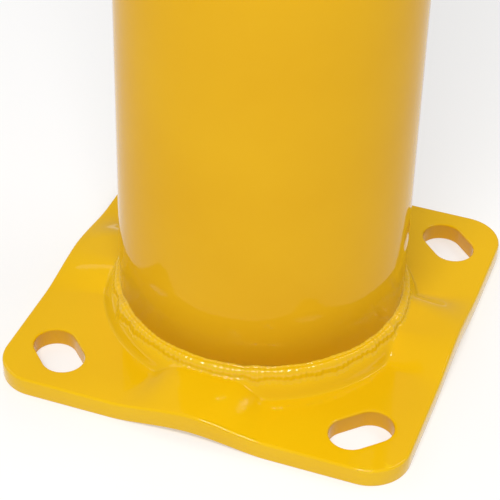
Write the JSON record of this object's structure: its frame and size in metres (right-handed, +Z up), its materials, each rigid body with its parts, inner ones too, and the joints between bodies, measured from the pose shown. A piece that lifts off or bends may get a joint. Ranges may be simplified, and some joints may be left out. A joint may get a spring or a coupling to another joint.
{
  "type": "safety bollard",
  "caption": "Round steel safety post on a square pressed base plate with slotted anchor holes, for bolting to a floor, with a lift-off moulded cap.",
  "frame": {"origin": "on the floor, under the post's axis, at the middle of the base plate's footprint", "axes": "+Z up along the post; X and Y along the sides of the square base plate"},
  "size_m": [0.2032, 0.2032, 0.9286],
  "materials": {
    "powder_coat": "gloss safety-yellow powder coat",
    "coated_weld": "gloss safety-yellow powder coat over a weld bead",
    "cap_rubber": "satin black moulded rubber"
  },
  "bodies": {
    "post": {"base_plate": "powder_coat", "post_tube": "powder_coat", "base_weld": "coated_weld"},
    "cap": {"post_cap": "cap_rubber"}
  },
  "joints": [
    {"name": "cap_lift", "type": "slide", "parent": "post", "child": "cap", "axis": [0, 0, 1], "range_m": [0, 0.045]}
  ]
}
